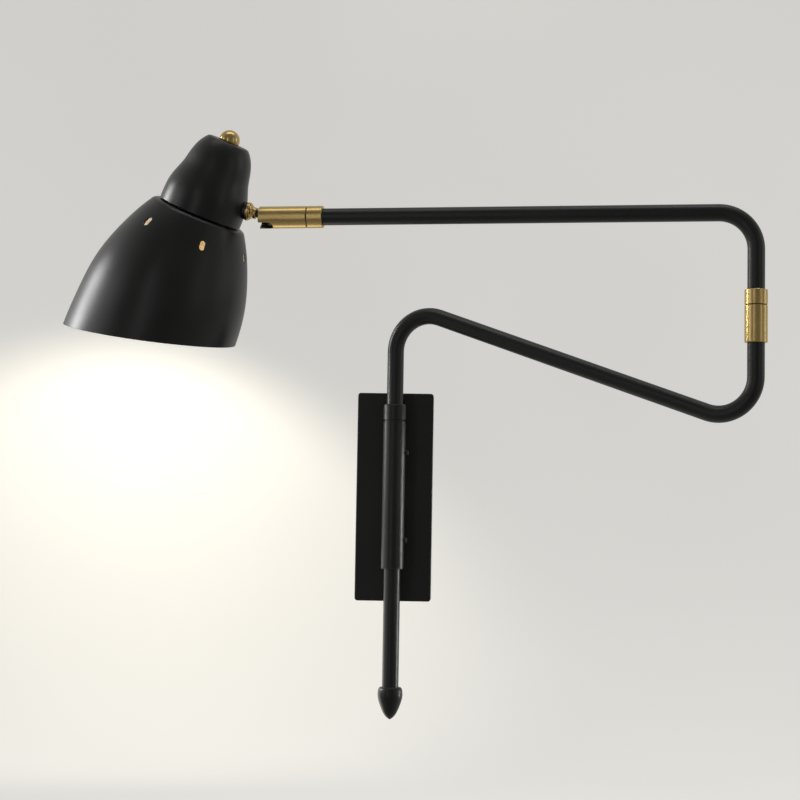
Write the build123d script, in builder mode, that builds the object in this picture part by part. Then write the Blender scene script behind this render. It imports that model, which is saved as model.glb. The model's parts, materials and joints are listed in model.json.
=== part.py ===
from build123d import *
import os
from math import cos, radians, sin, sqrt

# Swing arm wall sconce. Millimetres, +Z up. The wall is the plane Y = 0 and the lamp stands in front of it,
# towards -Y. The origin is the middle of the wall plate, on the wall. +X runs from the plate to the elbow.

os.makedirs("parts", exist_ok=True)

# ---------------------------------------------------------------- driving dimensions
cover_width = 75.0
cover_height = 205.0
cover_depth = 25.0
cover_wall = 1.5
cover_corner = 3.0
cover_front_round = 1.2

bracket_width = 40.0
bracket_thickness = 2.0
bracket_tab = 18.0
wall_screw_spacing = 84.0
wall_slot_length = 14.0
wall_slot_width = 5.0
inlet_radius = 7.0
inlet_hole_radius = 11.0
cover_screw_y = -12.0
screw_m4_radius = 2.0

post_radius = 6.0
post_spacing = 48.0
post_stub_radius = 4.0
standoff = 16.0
stiffener_thickness = 2.0
post_nut_thickness = 4.0

barrel_radius = 11.0
barrel_bore = 9.5
barrel_bottom = -70.8
barrel_top = 72.5
collar_bottom = 73.8
collar_height = 15.5
collar_round = 2.0
side_screw_heights = (42.0, -42.9)

tube_radius = 8.0
tube_bore = 6.5
bend_radius = 34.0
running_gap = 0.05
lead_radius = 1.8

stem_foot = -17.0
upper_bend_z = 189.4
lower_bend_z = 61.8
lower_arm_reach = 355.7
lower_arm_yaw = 21.3

tail_top = -31.0
tail_bottom = -184.4
finial_tip = -215.5

brass_radius = 10.5
elbow_bottom = 141.1
elbow_seam = 175.5
elbow_top = 189.6
spindle_radius = 5.5
spindle_bore = 3.0
arm_height = 260.8
upper_arm_reach = 454.3
upper_arm_yaw = 7.8

ball_radius = 8.0
mouth_to_ball = 11.0
mouth_to_seam = 46.3
seam_to_ring_end = 15.1
slot_width = 10.2
slot_beyond_ball = 3.0
slot_turn = 25.0
neck_radius = 3.5
stud_near_end = 14.6
stud_far_end = 24.5
cap_surface_from_ball = 26.5

head_tilt = 23.8
head_roll = 8.8
stud_rise = 9.0
cap_height = 71.9
cap_wall = 1.2
cap_seat_height = 18.6
cap_seat_radius = 39.8
shade_gap = 1.8
shade_wall = 1.0
rim_depth_long = 149.7
rim_depth_short = 105.3
rim_radius = 81.0
vent_count = 6
vent_depth = 23.2
vent_radius = 57.7
vent_length = 9.5
vent_width = 5.0
vent_first_angle = -2.2
vent_slope = 26.5

holder_radius = 19.5
holder_bottom = -14.0
nipple_radius = 5.0
ball_nut_radius = 9.8

# ---------------------------------------------------------------- derived frame
barrel_axis_y = -(cover_depth + standoff + barrel_radius)
vertical = Vector(0, 0, 1)


def flat_direction(angle):
    """Horizontal unit vector, the angle in degrees counted from +X towards +Y."""
    return Vector(cos(radians(angle)), sin(radians(angle)), 0)


stem_foot_point = Vector(0, barrel_axis_y, 0)
lower_arm_direction = flat_direction(-lower_arm_yaw)
elbow_point = stem_foot_point + lower_arm_direction * lower_arm_reach

# The upper arm runs from the elbow back over the plate, and a little towards the wall.
upper_arm_direction = flat_direction(180 - upper_arm_yaw)
towards_elbow = upper_arm_direction * -1
towards_wall = vertical.cross(towards_elbow)
ball_point = elbow_point + upper_arm_direction * upper_arm_reach + vertical * arm_height

# The head leans over in the plane of the arm, and rolls a little about the arm.
rolled_up = vertical * cos(radians(head_roll)) - towards_wall * sin(radians(head_roll))
head_up = rolled_up * cos(radians(head_tilt)) + towards_elbow * sin(radians(head_tilt))
head_out = towards_elbow * cos(radians(head_tilt)) - rolled_up * sin(radians(head_tilt))
head_back = head_up.cross(head_out)

# The stud joins the side of the cap square to its surface. It points from the head to the ball.
stud_axis = head_out * cos(radians(stud_rise)) + head_up * sin(radians(stud_rise))
from_ball = stud_axis * -1
ball_out = cap_seat_radius + cap_surface_from_ball * cos(radians(stud_rise))
ball_up = cap_seat_height + cap_surface_from_ball * sin(radians(stud_rise))
head_origin = ball_point - head_out * ball_out - head_up * ball_up

# The slot of the sleeve faces down and a little to the front.
slot_direction = (
    vertical * -cos(radians(slot_turn)) - towards_wall * sin(radians(slot_turn))
)

stem_section = Plane(
    origin=stem_foot_point,
    x_dir=lower_arm_direction,
    z_dir=lower_arm_direction.cross(vertical),
)
elbow_section = Plane(
    origin=elbow_point,
    x_dir=upper_arm_direction,
    z_dir=upper_arm_direction.cross(vertical),
)
head_section = Plane(
    origin=head_origin, x_dir=head_out, z_dir=head_out.cross(head_up)
)
head_axis = Axis(head_origin, head_up)
stud_line = Axis(ball_point, from_ball)


def across_stem(height):
    """Level plane centred on the barrel."""
    return Plane(origin=(0, barrel_axis_y, height), z_dir=(0, 0, 1))


def across_elbow(height):
    """Level plane centred on the elbow."""
    return Plane(origin=elbow_point + vertical * height, z_dir=(0, 0, 1))


def across_arm(distance):
    """Plane square to the upper arm, its distance counted from the elbow's axis."""
    origin = elbow_point + vertical * arm_height + upper_arm_direction * distance
    return Plane(origin=origin, x_dir=towards_wall, z_dir=upper_arm_direction)


def across_stud(distance):
    """Plane square to the stud, its distance counted from the ball towards the head."""
    return Plane(
        origin=ball_point + from_ball * distance, x_dir=head_back, z_dir=from_ball
    )


def across_head(height):
    """Plane square to the head's axis, its height counted from the foot of the cap."""
    return Plane(origin=head_origin + head_up * height, x_dir=head_out, z_dir=head_up)


def wall_plane(depth):
    """Plane parallel to the wall at a depth in front of it. Its x is +X and its y is +Z."""
    return Plane.XZ.offset(depth)


def finish(builder, name):
    """Labels a finished piece and writes it to its own file."""
    builder.part.label = name
    export_step(builder.part, f"parts/{name}.step")


def make_ring(name, plane, length, outer, inner):
    """A plain turned ring or tube, from its plane along the plane's normal."""
    with BuildPart() as ring:
        with BuildSketch(plane):
            Circle(outer)
            Circle(inner, mode=Mode.SUBTRACT)
        extrude(amount=length)
    finish(ring, name)


def inset(points, amount):
    """Moves an outline, given from bottom to top, towards the axis and square to its own slope."""
    moved = []
    for index, (radius, height) in enumerate(points):
        before = points[max(index - 1, 0)]
        after = points[min(index + 1, len(points) - 1)]
        run = after[0] - before[0]
        rise = after[1] - before[1]
        length = sqrt(run * run + rise * rise)
        moved.append((radius - amount * rise / length, height + amount * run / length))
    return moved


# ---------------------------------------------------------------- wall plate
half_height = cover_height / 2
inner_half_height = half_height - cover_wall
post_heights = (post_spacing / 2, -post_spacing / 2)

with BuildPart() as wall_cover:
    with BuildSketch(wall_plane(0)):
        RectangleRounded(cover_width, cover_height, cover_corner)
    extrude(amount=cover_depth)
    fillet(wall_cover.faces().sort_by(Axis.Y)[0].edges(), cover_front_round)
    with BuildSketch(wall_plane(0)):
        RectangleRounded(
            cover_width - 2 * cover_wall,
            cover_height - 2 * cover_wall,
            cover_corner - cover_wall,
        )
    extrude(amount=cover_depth - cover_wall, mode=Mode.SUBTRACT)
    with BuildSketch(wall_plane(cover_depth)):
        with Locations(*[(0, z) for z in post_heights]):
            Circle(post_stub_radius + 0.1)
    extrude(amount=-2 * cover_wall, mode=Mode.SUBTRACT)
    with BuildSketch(Plane.XY.offset(-half_height - 1)):
        with Locations((0, cover_screw_y)):
            Circle(screw_m4_radius + 0.15)
    extrude(amount=cover_height + 2, mode=Mode.SUBTRACT)
finish(wall_cover, "wall_cover")

bracket_half = inner_half_height - 0.2
earth_screw_place = (-13.0, -25.0)
with BuildPart() as mounting_bracket:
    with BuildSketch(Plane.YZ):
        with BuildLine():
            Polyline(
                (0, -bracket_half),
                (0, bracket_half),
                (-bracket_tab, bracket_half),
                (-bracket_tab, bracket_half - bracket_thickness),
                (-bracket_thickness, bracket_half - bracket_thickness),
                (-bracket_thickness, bracket_thickness - bracket_half),
                (-bracket_tab, bracket_thickness - bracket_half),
                (-bracket_tab, -bracket_half),
                close=True,
            )
        make_face()
    extrude(amount=bracket_width / 2, both=True)
    with BuildSketch(wall_plane(0)):
        with Locations((0, wall_screw_spacing / 2), (0, -wall_screw_spacing / 2)):
            SlotOverall(wall_slot_length, wall_slot_width, rotation=90)
        Circle(inlet_hole_radius)
        with Locations(earth_screw_place):
            Circle(screw_m4_radius)
    extrude(amount=bracket_thickness, mode=Mode.SUBTRACT)
    with BuildSketch(Plane.XY.offset(-half_height)):
        with Locations((0, cover_screw_y)):
            Circle(screw_m4_radius)
    extrude(amount=cover_height, mode=Mode.SUBTRACT)
finish(mounting_bracket, "mounting_bracket")

cover_screw_length = 7.0
cover_screw_sunk = 0.4
socket_radius = 1.15
socket_depth = 2.5
with BuildPart() as cover_screws:
    for side in (1, -1):
        outer_end = side * (half_height - cover_screw_sunk)
        with BuildSketch(Plane.XY.offset(outer_end)):
            with Locations((0, cover_screw_y)):
                Circle(screw_m4_radius)
        extrude(amount=-side * cover_screw_length)
        with BuildSketch(Plane.XY.offset(outer_end)):
            with Locations((0, cover_screw_y)):
                RegularPolygon(socket_radius, 6)
        extrude(amount=-side * socket_depth, mode=Mode.SUBTRACT)
finish(cover_screws, "cover_screws")

stiffener_front = cover_depth - cover_wall
with BuildPart() as stiffener_plate:
    with BuildSketch(wall_plane(stiffener_front)):
        RectangleRounded(32, post_spacing + 44, 4)
        with Locations(*[(0, z) for z in post_heights]):
            Circle(post_stub_radius + 0.1, mode=Mode.SUBTRACT)
    extrude(amount=-stiffener_thickness)
finish(stiffener_plate, "stiffener_plate")

post_stub_length = 10.5
lead_post_height = post_heights[1]
lead_hole_radius = 2.4
with BuildPart() as standoff_posts:
    with BuildSketch(wall_plane(cover_depth)):
        with Locations(*[(0, z) for z in post_heights]):
            Circle(post_radius)
    extrude(amount=standoff + barrel_radius)
    with BuildSketch(wall_plane(cover_depth)):
        with Locations(*[(0, z) for z in post_heights]):
            Circle(post_stub_radius)
    extrude(amount=-post_stub_length)
    with BuildSketch(across_stem(-post_spacing)):
        Circle(barrel_radius)
    extrude(amount=2 * post_spacing, mode=Mode.SUBTRACT)
    with BuildSketch(wall_plane(cover_depth - post_stub_length)):
        with Locations((0, lead_post_height)):
            Circle(lead_hole_radius)
    extrude(amount=post_stub_length + standoff + barrel_radius, mode=Mode.SUBTRACT)
finish(standoff_posts, "standoff_posts")

with BuildPart() as post_nuts:
    with BuildSketch(wall_plane(stiffener_front - stiffener_thickness)):
        with Locations(*[(0, z) for z in post_heights]):
            RegularPolygon(7.5, 6)
            Circle(post_stub_radius, mode=Mode.SUBTRACT)
    extrude(amount=-post_nut_thickness)
finish(post_nuts, "post_nuts")

grommet_lip = 1.5
grommet_lip_radius = inlet_hole_radius + 2.0
with BuildPart() as inlet_grommet:
    with BuildSketch(wall_plane(0)):
        Circle(inlet_hole_radius)
    extrude(amount=bracket_thickness)
    with BuildSketch(wall_plane(bracket_thickness)):
        Circle(grommet_lip_radius)
    extrude(amount=grommet_lip)
    with BuildSketch(wall_plane(0)):
        Circle(inlet_radius)
    extrude(amount=bracket_thickness + grommet_lip, mode=Mode.SUBTRACT)
finish(inlet_grommet, "inlet_grommet")

terminal_centre = -69.0
terminal_height = 18.0
terminal_width = 24.0
terminal_depth = 12.0
terminal_pitch = 7.5
pole_places = (-terminal_pitch, 0, terminal_pitch)
wire_bore_y = -5.5
with BuildPart() as terminal_block:
    with BuildSketch(wall_plane(bracket_thickness)):
        with Locations((0, terminal_centre)):
            RectangleRounded(terminal_width, terminal_height, 1)
    extrude(amount=terminal_depth)
    with BuildSketch(Plane.XY.offset(terminal_centre - terminal_height / 2)):
        with Locations(*[(x, wire_bore_y) for x in pole_places]):
            Circle(1.3)
    extrude(amount=terminal_height, mode=Mode.SUBTRACT)
    with BuildSketch(wall_plane(bracket_thickness + terminal_depth)):
        with Locations(*[(x, terminal_centre) for x in pole_places]):
            Circle(1.6)
    extrude(amount=-6.5, mode=Mode.SUBTRACT)
finish(terminal_block, "terminal_block")

with BuildPart() as terminal_screws:
    with BuildSketch(wall_plane(bracket_thickness + terminal_depth - 0.6)):
        with Locations(*[(x, terminal_centre) for x in pole_places]):
            Circle(1.5)
    extrude(amount=-5.2)
    with BuildSketch(wall_plane(bracket_thickness + terminal_depth - 0.6)):
        with Locations(*[(x, terminal_centre) for x in pole_places]):
            Rectangle(2.6, 0.6)
    extrude(amount=-0.8, mode=Mode.SUBTRACT)
finish(terminal_screws, "terminal_screws")

with BuildPart() as earth_screw:
    with BuildSketch(wall_plane(bracket_thickness)):
        with Locations(earth_screw_place):
            Circle(4)
    extrude(amount=2.4)
    fillet(earth_screw.faces().sort_by(Axis.Y)[0].edges(), 0.8)
    with BuildSketch(wall_plane(0)):
        with Locations(earth_screw_place):
            Circle(screw_m4_radius)
    extrude(amount=bracket_thickness)
    with BuildSketch(wall_plane(bracket_thickness + 2.4)):
        with Locations(earth_screw_place):
            Rectangle(5, 0.9)
    extrude(amount=-1.2, mode=Mode.SUBTRACT)
finish(earth_screw, "earth_screw")

# ---------------------------------------------------------------- barrel and tail
barrel_length = barrel_top - barrel_bottom
right_side = Plane(origin=(0, barrel_axis_y, 0), x_dir=(0, 1, 0), z_dir=(1, 0, 0))

with BuildPart() as barrel:
    with BuildSketch(across_stem(barrel_bottom)):
        Circle(barrel_radius)
        Circle(barrel_bore, mode=Mode.SUBTRACT)
    extrude(amount=barrel_length)
    outer_rims = (
        barrel.edges().filter_by(GeomType.CIRCLE).sort_by(SortBy.RADIUS)[-2:]
    )
    chamfer(outer_rims, 0.5)
    with BuildSketch(right_side):
        with Locations(*[(0, z) for z in side_screw_heights]):
            Circle(screw_m4_radius)
    extrude(amount=barrel_radius + 1, mode=Mode.SUBTRACT)
    with BuildSketch(wall_plane(cover_depth)):
        with Locations((0, lead_post_height)):
            Circle(lead_hole_radius)
    extrude(amount=standoff + barrel_radius, mode=Mode.SUBTRACT)
finish(barrel, "barrel")

bush_length = 12.0
bush_bore = tube_radius + running_gap
make_ring(
    "upper_barrel_bush",
    across_stem(barrel_top - bush_length),
    bush_length,
    barrel_bore,
    bush_bore,
)
make_ring(
    "lower_barrel_bush", across_stem(-bush_length), bush_length, barrel_bore, bush_bore
)

side_screw_head = 2.8
side_screw_head_start = barrel_radius + 0.2
side_screw_end = barrel_radius + 3.0
side_screw_tips = (tube_radius + 0.3, tube_radius)
with BuildPart() as barrel_set_screws:
    for height, tip in zip(side_screw_heights, side_screw_tips):
        with BuildSketch(right_side.offset(tip)):
            with Locations((0, height)):
                Circle(screw_m4_radius)
        extrude(amount=side_screw_end - tip)
        with BuildSketch(right_side.offset(side_screw_head_start)):
            with Locations((0, height)):
                Circle(side_screw_head)
        extrude(amount=side_screw_end - side_screw_head_start)
    screw_faces = barrel_set_screws.faces().filter_by(Axis.X).group_by(Axis.X)[-1]
    chamfer(screw_faces.edges(), 0.5)
    for height in side_screw_heights:
        with BuildSketch(right_side.offset(side_screw_end)):
            with Locations((0, height)):
                RegularPolygon(1.3, 6)
        extrude(amount=-1.8, mode=Mode.SUBTRACT)
finish(barrel_set_screws, "barrel_set_screws")

with BuildPart() as tail_sleeve:
    with BuildSketch(across_stem(barrel_bottom)):
        Circle(barrel_bore)
        Circle(tube_radius, mode=Mode.SUBTRACT)
    extrude(amount=tail_top - barrel_bottom)
    with BuildSketch(right_side):
        with Locations((0, side_screw_heights[1])):
            Circle(screw_m4_radius)
    extrude(amount=barrel_radius, mode=Mode.SUBTRACT)
finish(tail_sleeve, "tail_sleeve")

make_ring(
    "tail_tube", across_stem(tail_bottom), tail_top - tail_bottom, tube_radius, tube_bore
)

# The acorn hangs from a spigot in the tail tube: widest just under its top, then round to a short point.
spigot_length = 18.0
finial_section = Plane(
    origin=stem_foot_point, x_dir=(1, 0, 0), z_dir=(0, -1, 0)
)
finial_drops = [
    (9.9, 0),
    (11.2, 1.4),
    (12.0, 5.0),
    (12.0, 8.8),
    (11.2, 12.8),
    (10.0, 16.6),
    (8.5, 20.4),
    (6.7, 24.4),
    (4.2, 28.0),
]
finial_outline = [(radius, tail_bottom - drop) for radius, drop in finial_drops]
finial_outline.append((0, finial_tip))
with BuildPart() as tail_finial:
    with BuildSketch(finial_section):
        with BuildLine():
            Polyline(
                (0, tail_bottom + spigot_length),
                (tube_bore, tail_bottom + spigot_length),
                (tube_bore, tail_bottom),
                finial_outline[0],
            )
            Spline(*finial_outline)
            Line((0, finial_tip), (0, tail_bottom + spigot_length))
        make_face()
    revolve(axis=Axis((0, barrel_axis_y, 0), (0, 0, 1)))
finish(tail_finial, "tail_finial")

# ---------------------------------------------------------------- collar on the stem
make_ring(
    "thrust_washer",
    across_stem(barrel_top + running_gap),
    collar_bottom - barrel_top - running_gap,
    barrel_bore + 0.4,
    tube_radius,
)

collar_screw_height = collar_bottom + collar_height / 2
wall_side = Plane(origin=(0, barrel_axis_y, 0), x_dir=(-1, 0, 0), z_dir=(0, 1, 0))
with BuildPart() as stop_collar:
    with BuildSketch(across_stem(collar_bottom)):
        Circle(barrel_radius)
        Circle(tube_radius, mode=Mode.SUBTRACT)
    extrude(amount=collar_height)
    collar_rims = (
        stop_collar.edges().filter_by(GeomType.CIRCLE).sort_by(SortBy.RADIUS)[-2:]
    )
    fillet(collar_rims.sort_by(Axis.Z)[-1], collar_round)
    chamfer(collar_rims.sort_by(Axis.Z)[0], 0.4)
    with BuildSketch(wall_side):
        with Locations((0, collar_screw_height)):
            Circle(screw_m4_radius)
    extrude(amount=barrel_radius + 1, mode=Mode.SUBTRACT)
finish(stop_collar, "stop_collar")

with BuildPart() as collar_set_screw:
    with BuildSketch(wall_side.offset(tube_radius)):
        with Locations((0, collar_screw_height)):
            Circle(screw_m4_radius)
    extrude(amount=barrel_radius - tube_radius - 0.5)
    with BuildSketch(wall_side.offset(barrel_radius - 0.5)):
        with Locations((0, collar_screw_height)):
            RegularPolygon(socket_radius, 6)
    extrude(amount=-1.5, mode=Mode.SUBTRACT)
finish(collar_set_screw, "collar_set_screw")

# ---------------------------------------------------------------- lower arm
tube_end_in_elbow = elbow_seam - 23.2
clip_top = -bush_length - 0.4
clip_thickness = 1.2
clip_groove_depth = 0.4
with BuildPart() as lower_arm_tube:
    with BuildLine(stem_section) as lower_arm_route:
        FilletPolyline(
            (0, stem_foot),
            (0, upper_bend_z),
            (lower_arm_reach, lower_bend_z),
            (lower_arm_reach, tube_end_in_elbow),
            radius=bend_radius,
        )
    with BuildSketch(across_stem(stem_foot)):
        Circle(tube_radius)
        Circle(tube_bore, mode=Mode.SUBTRACT)
    sweep(path=lower_arm_route.line)
    with BuildSketch(across_stem(clip_top)):
        Circle(tube_radius + 1)
        Circle(tube_radius - clip_groove_depth, mode=Mode.SUBTRACT)
    extrude(amount=-clip_thickness, mode=Mode.SUBTRACT)
finish(lower_arm_tube, "lower_arm_tube")

with BuildPart() as stem_circlip:
    with BuildSketch(across_stem(clip_top)):
        Circle(barrel_bore - 0.4)
        Circle(tube_radius - clip_groove_depth, mode=Mode.SUBTRACT)
        with Locations((barrel_bore, 0)):
            Rectangle(8, 5, mode=Mode.SUBTRACT)
    extrude(amount=-clip_thickness)
finish(stem_circlip, "stem_circlip")

# ---------------------------------------------------------------- elbow
washer_gap = 0.3
elbow_sleeve_top = elbow_seam - washer_gap
elbow_ring_bottom = elbow_seam + washer_gap
elbow_counterbore_top = elbow_seam - 16.7
elbow_web_top = elbow_ring_bottom + 4.0
bush_radius = 7.0
spindle_seat = spindle_radius + running_gap
brass_chamfer = 0.5
washer_radius = brass_radius - 0.6

with BuildPart() as elbow_sleeve:
    with BuildSketch(across_elbow(elbow_bottom)):
        Circle(brass_radius)
    extrude(amount=elbow_sleeve_top - elbow_bottom)
    chamfer(elbow_sleeve.edges().filter_by(GeomType.CIRCLE), brass_chamfer)
    with BuildSketch(across_elbow(elbow_bottom)):
        Circle(tube_radius)
    extrude(amount=elbow_counterbore_top - elbow_bottom, mode=Mode.SUBTRACT)
    with BuildSketch(across_elbow(elbow_counterbore_top)):
        Circle(bush_radius)
    extrude(amount=elbow_sleeve_top - elbow_counterbore_top, mode=Mode.SUBTRACT)
finish(elbow_sleeve, "elbow_sleeve")

make_ring(
    "elbow_bush",
    across_elbow(elbow_counterbore_top),
    elbow_sleeve_top - elbow_counterbore_top,
    bush_radius,
    spindle_seat,
)
make_ring(
    "elbow_washer",
    across_elbow(elbow_sleeve_top + running_gap),
    elbow_ring_bottom - elbow_sleeve_top - running_gap,
    washer_radius,
    spindle_radius,
)

with BuildPart() as elbow_ring:
    with BuildSketch(across_elbow(elbow_ring_bottom)):
        Circle(brass_radius)
    extrude(amount=elbow_top - elbow_ring_bottom)
    chamfer(elbow_ring.edges().filter_by(GeomType.CIRCLE), brass_chamfer)
    with BuildSketch(across_elbow(elbow_ring_bottom)):
        Circle(spindle_radius)
    extrude(amount=elbow_top - elbow_ring_bottom, mode=Mode.SUBTRACT)
    with BuildSketch(across_elbow(elbow_web_top)):
        Circle(tube_radius)
    extrude(amount=elbow_top - elbow_web_top, mode=Mode.SUBTRACT)
finish(elbow_ring, "elbow_ring")

elbow_spindle_foot = elbow_counterbore_top - 4.6
make_ring(
    "elbow_spindle",
    across_elbow(elbow_spindle_foot),
    elbow_web_top - elbow_spindle_foot,
    spindle_radius,
    spindle_bore,
)
with BuildPart() as elbow_nut:
    with BuildSketch(across_elbow(elbow_counterbore_top - 0.4)):
        RegularPolygon(7.6, 6)
        Circle(spindle_radius, mode=Mode.SUBTRACT)
    extrude(amount=-3.6)
finish(elbow_nut, "elbow_nut")

# ---------------------------------------------------------------- upper arm
sleeve_mouth = upper_arm_reach + mouth_to_ball
swivel_seam = sleeve_mouth - mouth_to_seam
head_ring_start = swivel_seam - seam_to_ring_end
head_ring_end = swivel_seam - washer_gap
sleeve_start = swivel_seam + washer_gap
upper_tube_end = head_ring_end - 4.5

with BuildPart() as upper_arm_tube:
    with BuildLine(elbow_section) as upper_arm_route:
        FilletPolyline(
            (0, elbow_web_top),
            (0, arm_height),
            (upper_tube_end, arm_height),
            radius=bend_radius,
        )
    with BuildSketch(across_elbow(elbow_web_top)):
        Circle(tube_radius)
        Circle(tube_bore, mode=Mode.SUBTRACT)
    sweep(path=upper_arm_route.line)
finish(upper_arm_tube, "upper_arm_tube")

with BuildPart() as head_ring:
    with BuildSketch(across_arm(head_ring_start)):
        Circle(brass_radius)
    extrude(amount=head_ring_end - head_ring_start)
    chamfer(head_ring.edges().filter_by(GeomType.CIRCLE), brass_chamfer)
    with BuildSketch(across_arm(head_ring_start)):
        Circle(tube_radius)
    extrude(amount=upper_tube_end - head_ring_start, mode=Mode.SUBTRACT)
    with BuildSketch(across_arm(upper_tube_end)):
        Circle(spindle_radius)
    extrude(amount=head_ring_end - upper_tube_end, mode=Mode.SUBTRACT)
finish(head_ring, "head_ring")

make_ring(
    "swivel_washer",
    across_arm(head_ring_end),
    sleeve_start - head_ring_end - running_gap,
    washer_radius,
    spindle_radius,
)

swivel_bush_length = 7.5
swivel_nut_start = sleeve_start + swivel_bush_length + 0.4
swivel_nut_length = 4.0
swivel_spindle_end = swivel_nut_start + swivel_nut_length + 1.0
make_ring(
    "swivel_spindle",
    across_arm(upper_tube_end),
    swivel_spindle_end - upper_tube_end,
    spindle_radius,
    spindle_bore,
)
with BuildPart() as swivel_nut:
    with BuildSketch(across_arm(swivel_nut_start)):
        RegularPolygon(8.2, 6)
        Circle(spindle_radius, mode=Mode.SUBTRACT)
    extrude(amount=swivel_nut_length)
finish(swivel_nut, "swivel_nut")

# ---------------------------------------------------------------- swivel sleeve
chamber_radius = 9.0
lip_radius = 8.2
lip_length = 1.6
chamber_start = sleeve_start + swivel_bush_length
slot_end = upper_arm_reach - slot_beyond_ball
slot_length = sleeve_mouth - slot_end

# The slot is cut by a bar that runs out sideways from the arm's axis, round at its inner end.
slot_plane = Plane(
    origin=ball_point, x_dir=upper_arm_direction, z_dir=slot_direction
)


slot_run = sleeve_mouth + 5 - upper_arm_reach
slot_inner = slot_end - upper_arm_reach + slot_width / 2
with BuildPart() as slot_bar:
    with BuildSketch(slot_plane):
        with Locations(((slot_run + slot_inner) / 2, 0)):
            Rectangle(slot_run - slot_inner, slot_width)
        with Locations((slot_inner, 0)):
            Circle(slot_width / 2)
    extrude(amount=brass_radius + 2)


with BuildPart() as swivel_sleeve:
    with BuildSketch(across_arm(sleeve_start)):
        Circle(brass_radius)
    extrude(amount=sleeve_mouth - sleeve_start)
    chamfer(swivel_sleeve.edges().filter_by(GeomType.CIRCLE), brass_chamfer)
    with BuildSketch(across_arm(sleeve_start)):
        Circle(bush_radius)
    extrude(amount=swivel_bush_length, mode=Mode.SUBTRACT)
    with BuildSketch(across_arm(chamber_start)):
        Circle(chamber_radius)
    extrude(amount=sleeve_mouth - lip_length - chamber_start, mode=Mode.SUBTRACT)
    with BuildSketch(across_arm(chamber_start)):
        Circle(lip_radius)
    extrude(amount=sleeve_mouth - chamber_start, mode=Mode.SUBTRACT)
    add(slot_bar.part, mode=Mode.SUBTRACT)
finish(swivel_sleeve, "swivel_sleeve")

make_ring(
    "swivel_bush",
    across_arm(sleeve_start),
    swivel_bush_length,
    bush_radius,
    spindle_seat,
)

# Sections along the arm's own axis: x runs to the head, y is up, and the ball's centre is the origin.
ball_section = Plane(
    origin=ball_point,
    x_dir=upper_arm_direction,
    z_dir=upper_arm_direction.cross(vertical),
)
arm_axis = Axis(ball_point, upper_arm_direction)
ball_seat_radius = ball_radius + running_gap
seat_hold = 6.6
seat_hold_at = sqrt(ball_seat_radius**2 - seat_hold**2)
seat_back = -4.2
seat_shoulder = mouth_to_ball - lip_length
seat_front = mouth_to_ball - 0.4
seat_mouth_radius = 7.5

with BuildPart() as ball_seat:
    with BuildSketch(ball_section):
        with BuildLine():
            Line((seat_back, ball_seat_radius), (0, ball_seat_radius))
            RadiusArc(
                (0, ball_seat_radius), (seat_hold_at, seat_hold), ball_seat_radius
            )
            Polyline(
                (seat_hold_at, seat_hold),
                (seat_front, seat_mouth_radius),
                (seat_front, lip_radius),
                (seat_shoulder, lip_radius),
                (seat_shoulder, chamber_radius),
                (seat_back, chamber_radius),
                (seat_back, ball_seat_radius),
            )
        make_face()
    revolve(axis=arm_axis)
    add(slot_bar.part, mode=Mode.SUBTRACT)
finish(ball_seat, "ball_seat")

pad_back = -13.5
pad_front = -4.6
pad_bore = 4.0
pad_radius = 8.8
pad_lip = sqrt(ball_seat_radius**2 - pad_front**2)
pad_cup = sqrt(ball_seat_radius**2 - pad_bore**2)
with BuildPart() as friction_pad:
    with BuildSketch(ball_section):
        with BuildLine():
            Polyline(
                (-pad_cup, pad_bore),
                (pad_back, pad_bore),
                (pad_back, pad_radius),
                (pad_front, pad_radius),
                (pad_front, pad_lip),
            )
            RadiusArc((pad_front, pad_lip), (-pad_cup, pad_bore), -ball_seat_radius)
        make_face()
    revolve(axis=arm_axis)
finish(friction_pad, "friction_pad")

disc_thickness = 0.9
disc_cone = 1.3
disc_pitch = 2.35
disc_first = upper_arm_reach + pad_back - 0.1
with BuildPart() as disc_springs:
    for count in range(3):
        outer_at = disc_first - upper_arm_reach - count * disc_pitch
        with BuildSketch(ball_section):
            with BuildLine():
                Polyline(
                    (outer_at - disc_thickness, pad_radius - 0.2),
                    (outer_at, pad_radius - 0.2),
                    (outer_at - disc_cone + disc_thickness, pad_bore),
                    (outer_at - disc_cone, pad_bore),
                    close=True,
                )
            make_face()
        revolve(axis=arm_axis)
finish(disc_springs, "disc_springs")

# ---------------------------------------------------------------- ball on its neck
neck_end = 19.0
ball_lead_bore = 2.1
ball_mouth = 4.6
neck_root = sqrt(ball_radius**2 - neck_radius**2)
ball_mouth_at = -sqrt(ball_radius**2 - ball_mouth**2)

# Sections along the stud: x runs from the ball's centre to the head.
stud_section = Plane(
    origin=ball_point, x_dir=from_ball, z_dir=from_ball.cross(head_back)
)
# The bore widens behind, so that the lead bends freely as the ball turns.
with BuildPart() as swivel_ball:
    with BuildSketch(stud_section):
        with BuildLine():
            ThreePointArc(
                (ball_mouth_at, ball_mouth), (0, ball_radius), (neck_root, neck_radius)
            )
            Polyline(
                (neck_root, neck_radius),
                (neck_end, neck_radius),
                (neck_end, ball_lead_bore),
                (0, ball_lead_bore),
                (ball_mouth_at, ball_mouth),
            )
        make_face()
    revolve(axis=stud_line)
finish(swivel_ball, "swivel_ball")

# ---------------------------------------------------------------- head: cap
cap_outline = [
    (40.7, 0),
    (40.6, 10.0),
    (39.6, 20.0),
    (36.8, 30.0),
    (33.2, 40.0),
    (30.9, 50.0),
    (27.8, 60.0),
    (24.0, 67.0),
    (20.4, 71.3),
]
cap_inner_outline = inset(cap_outline, cap_wall)
cap_ceiling = cap_height - cap_wall
cap_top_flat = 18.9


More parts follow.
